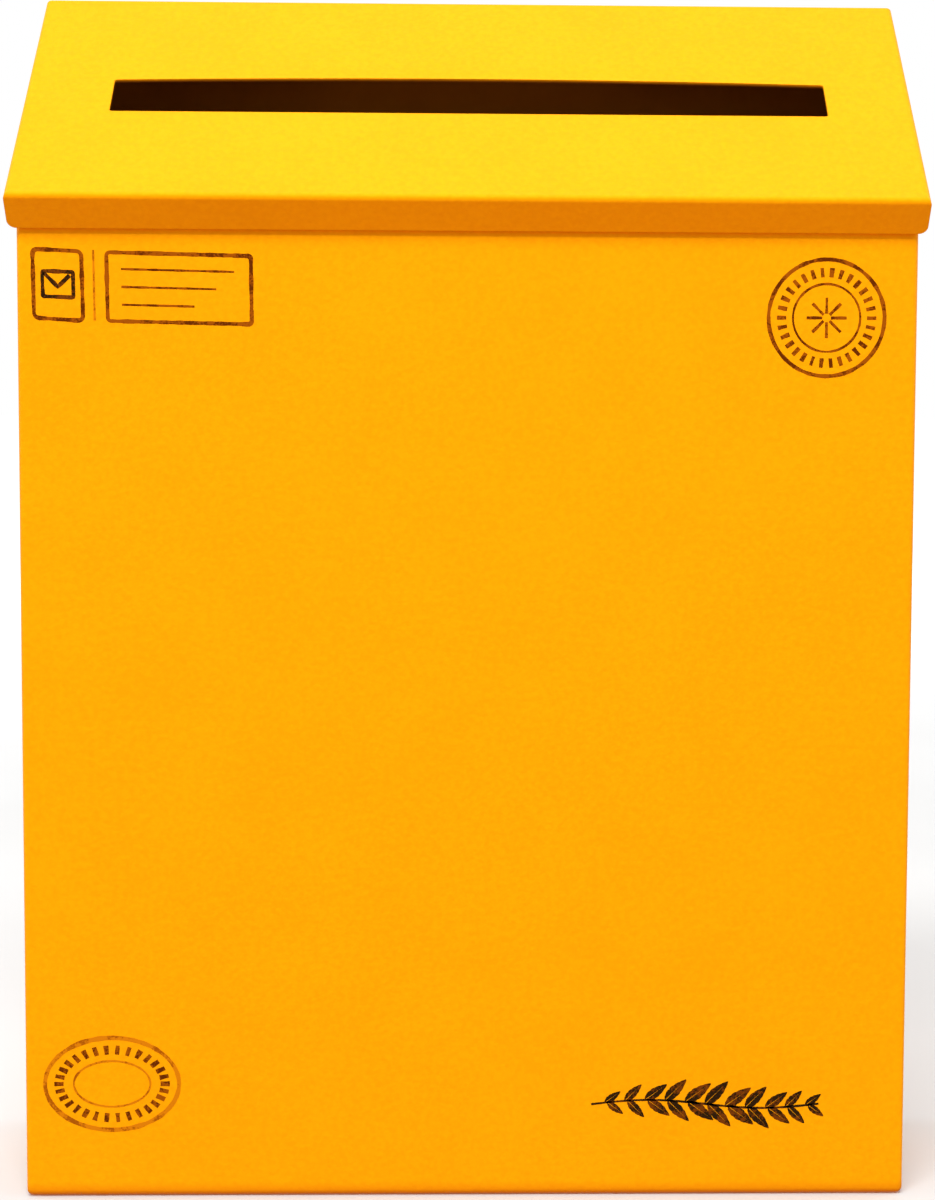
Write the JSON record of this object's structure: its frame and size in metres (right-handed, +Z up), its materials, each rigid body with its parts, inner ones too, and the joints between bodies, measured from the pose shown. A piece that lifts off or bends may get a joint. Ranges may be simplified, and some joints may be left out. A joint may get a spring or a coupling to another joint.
{
  "type": "post box",
  "caption": "Slim wall post box in folded sheet steel, with a letter slot in its sloped lid, which hinges up at the back.",
  "frame": {"origin": "centre of the footprint of the whole box, at its underside", "axes": "+Z up, -Y the front that faces the person posting, +Y the wall, +X to the right seen from the front"},
  "size_m": [0.254, 0.08, 0.344],
  "materials": {
    "yellow_powder_coat": "satin powder coat with a fine orange peel",
    "bare_aluminium": "satin",
    "zinc_steel": "zinc plated, satin",
    "black_rubber": "matt"
  },
  "bodies": {
    "body": {"body_wrap": "yellow_powder_coat", "back_panel": "yellow_powder_coat", "floor_tray": "yellow_powder_coat", "hinge_left_body_leaf": "yellow_powder_coat", "hinge_left_pin": "zinc_steel", "hinge_left_rivets": "bare_aluminium", "side_rivets_left": "bare_aluminium", "floor_rivets_left": "bare_aluminium", "lid_bumpers_left": "black_rubber", "hinge_right_body_leaf": "yellow_powder_coat", "hinge_right_pin": "zinc_steel", "hinge_right_rivets": "bare_aluminium", "side_rivets_right": "bare_aluminium", "floor_rivets_right": "bare_aluminium", "lid_bumpers_right": "black_rubber"},
    "lid": {"lid": "yellow_powder_coat", "hinge_left_lid_leaf": "yellow_powder_coat", "hinge_right_lid_leaf": "yellow_powder_coat"}
  },
  "joints": [
    {"name": "lid_hinge", "type": "hinge", "parent": "body", "child": "lid", "pos_m": [0, 0.03637, 0.34123], "axis": [-1, 0, 0], "range_deg": [0, 120]}
  ]
}
